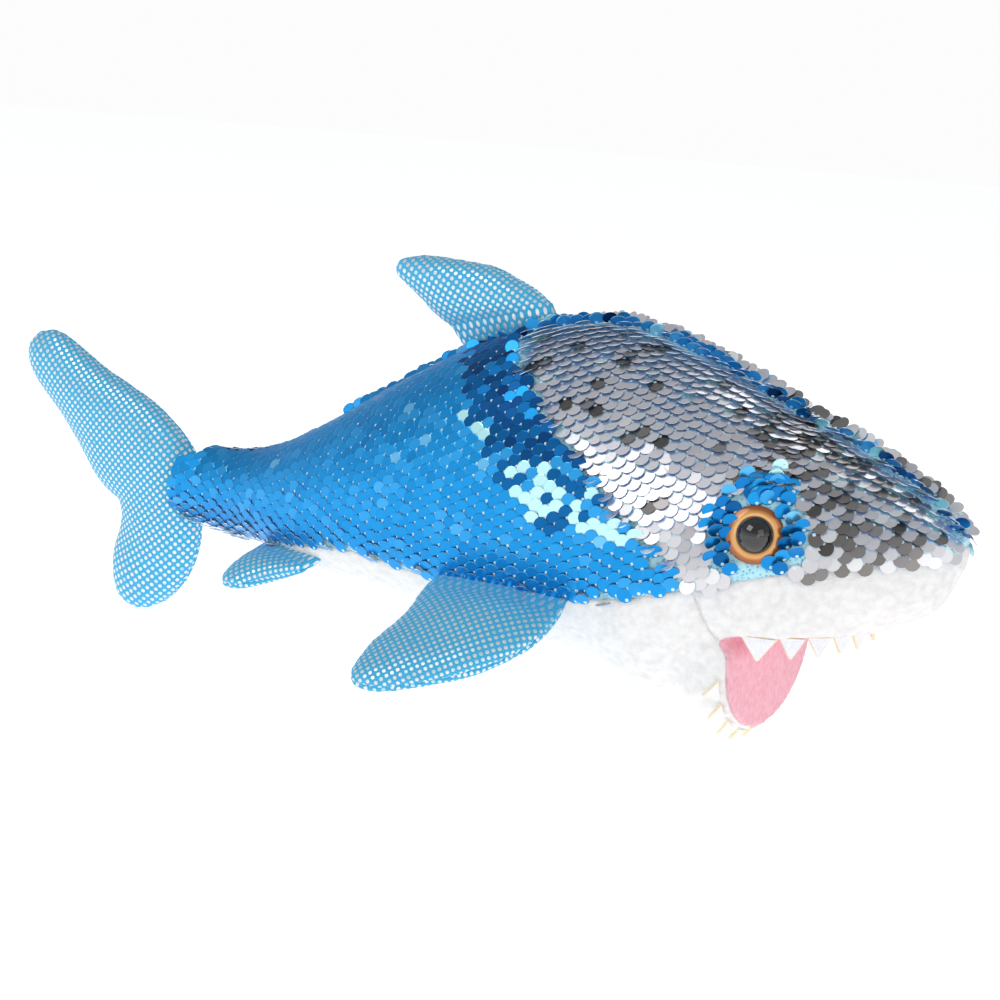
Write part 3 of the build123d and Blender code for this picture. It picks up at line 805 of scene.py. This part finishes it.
coat = add_node(tree, "ShaderNodeBsdfPrincipled", {
    "Base Color": ring.outputs["Color"], "Metallic": 0.35, "Roughness": 0.22, "Coat Weight": 0.8,
    "Coat Roughness": 0.05, "Normal": bump.outputs["Normal"]})
add_node(tree, "ShaderNodeOutputMaterial", {"Surface": coat.outputs["BSDF"]})
black, tree = new_material("black_moulded_acrylic")
where = add_node(tree, "ShaderNodeTexCoord").outputs["Object"]
haze = add_node(tree, "ShaderNodeTexNoise", {"Vector": where, "Scale": 1 / (3 * MM)})
smear = add_node(tree, "ShaderNodeMapRange", {"Value": haze.outputs["Fac"], "To Min": 0.04, "To Max": 0.1})
coat = add_node(tree, "ShaderNodeBsdfPrincipled", {
    "Base Color": linear("#0A0807"), "Roughness": smear.outputs["Result"], "Coat Weight": 1.0,
    "Coat Roughness": 0.03})
add_node(tree, "ShaderNodeOutputMaterial", {"Surface": coat.outputs["BSDF"]})
EYE, EYE_HEIGHT = 9.0, 2.2        # radius of the iris, and its height over the seat
PUPIL, PUPIL_HEIGHT = 5.9, 4.6
EYE_OUT = (0.33, 0.925, 0.19)     # the way an eye faces: ahead, out to its side, up
EYE_DEEP, BACK_DEPTH = 2.6, 1.2   # the seat under the pupil's middle, and the depth of the bead's back
DOME = 1.4                        # over 1 flattens a bead's sides
HOLLOW, HOLLOW_RIM = 1.0, 0.4     # the iris is level at this height under the pupil, to past its edge

for name, side in (("left", 1), ("right", -1)):
    pupil_low, pupil_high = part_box(f"{name}_eye_pupil")
    facing = Vector((EYE_OUT[0], side * EYE_OUT[1], EYE_OUT[2])).normalized()
    middle = (pupil_low + pupil_high) / 2
    turn = facing.to_track_quat("Z", "Y").to_euler()
    for part, radius, height, material in (("iris", EYE, EYE_HEIGHT, amber),
                                           ("pupil", PUPIL, PUPIL_HEIGHT, black)):
        bpy.ops.object.select_all(action="DESELECT")
        seat = middle - facing * EYE_DEEP * MM
        bpy.ops.mesh.primitive_uv_sphere_add(segments=64, ring_count=32, radius=radius * MM, location=seat,
                                             rotation=turn)
        piece = bpy.context.object
        piece.name = f"{name}_eye_{part}_bead"
        for v in piece.data.vertices:
            share = v.co.z / (radius * MM)
            v.co.z = (share ** DOME * height if share > 0 else share * BACK_DEPTH) * MM
            if part == "iris" and share > 0 and v.co.xy.length / MM < PUPIL + HOLLOW_RIM:
                v.co.z = min(v.co.z, HOLLOW * MM)
        away = piece.data.attributes.new("from_middle", "FLOAT", "POINT")
        away.data.foreach_set("value", [v.co.xy.length / (EYE * MM) for v in piece.data.vertices])
        bpy.ops.object.transform_apply(location=True, rotation=True, scale=True)
        bpy.ops.object.shade_smooth()
        piece.data.materials.append(material)
        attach(piece, "body")
        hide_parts(f"{name}_eye_{part}")

# --- filling and eye washers -------------------------------------------------------------
# Loose white polyester fibre packed into the body, and moulded nylon washers pressed on the
# eyes' stems inside it. Both are the CAD pieces, hidden by the skin.
fibre, tree = new_material("loose_polyester_fibre")
where = add_node(tree, "ShaderNodeTexCoord").outputs["Object"]
strands = add_node(tree, "ShaderNodeTexNoise", {"Vector": where, "Scale": 1 / (1.2 * MM), "Detail": 6.0,
                                                "Distortion": 1.5})
ramp = add_node(tree, "ShaderNodeValToRGB", {"Fac": strands.outputs["Fac"]})
set_ramp(ramp, [(0.3, "#E4E4E2"), (0.7, "#FBFBFA")])
bump = add_node(tree, "ShaderNodeBump", {"Height": strands.outputs["Fac"], "Distance": 0.6 * MM})
coat = add_node(tree, "ShaderNodeBsdfPrincipled", {
    "Base Color": ramp.outputs["Color"], "Roughness": 1.0, "Sheen Weight": 0.4,
    "Normal": bump.outputs["Normal"]})
add_node(tree, "ShaderNodeOutputMaterial", {"Surface": coat.outputs["BSDF"]})
nylon, tree = new_material("moulded_nylon")
where = add_node(tree, "ShaderNodeTexCoord").outputs["Object"]
flow = add_node(tree, "ShaderNodeTexNoise", {"Vector": where, "Scale": 1 / (2 * MM), "Detail": 2.0})
ramp = add_node(tree, "ShaderNodeValToRGB", {"Fac": flow.outputs["Fac"]})
set_ramp(ramp, [(0.3, "#D6D4CC"), (0.7, "#E6E4DE")])
coat = add_node(tree, "ShaderNodeBsdfPrincipled", {"Base Color": ramp.outputs["Color"], "Roughness": 0.45})
add_node(tree, "ShaderNodeOutputMaterial", {"Surface": coat.outputs["BSDF"]})
for node, material in (("body_stuffing", fibre), ("left_eye_washer", nylon), ("right_eye_washer", nylon)):
    held = frame["nodes"][node]
    held.data.materials.clear()
    held.data.materials.append(material)
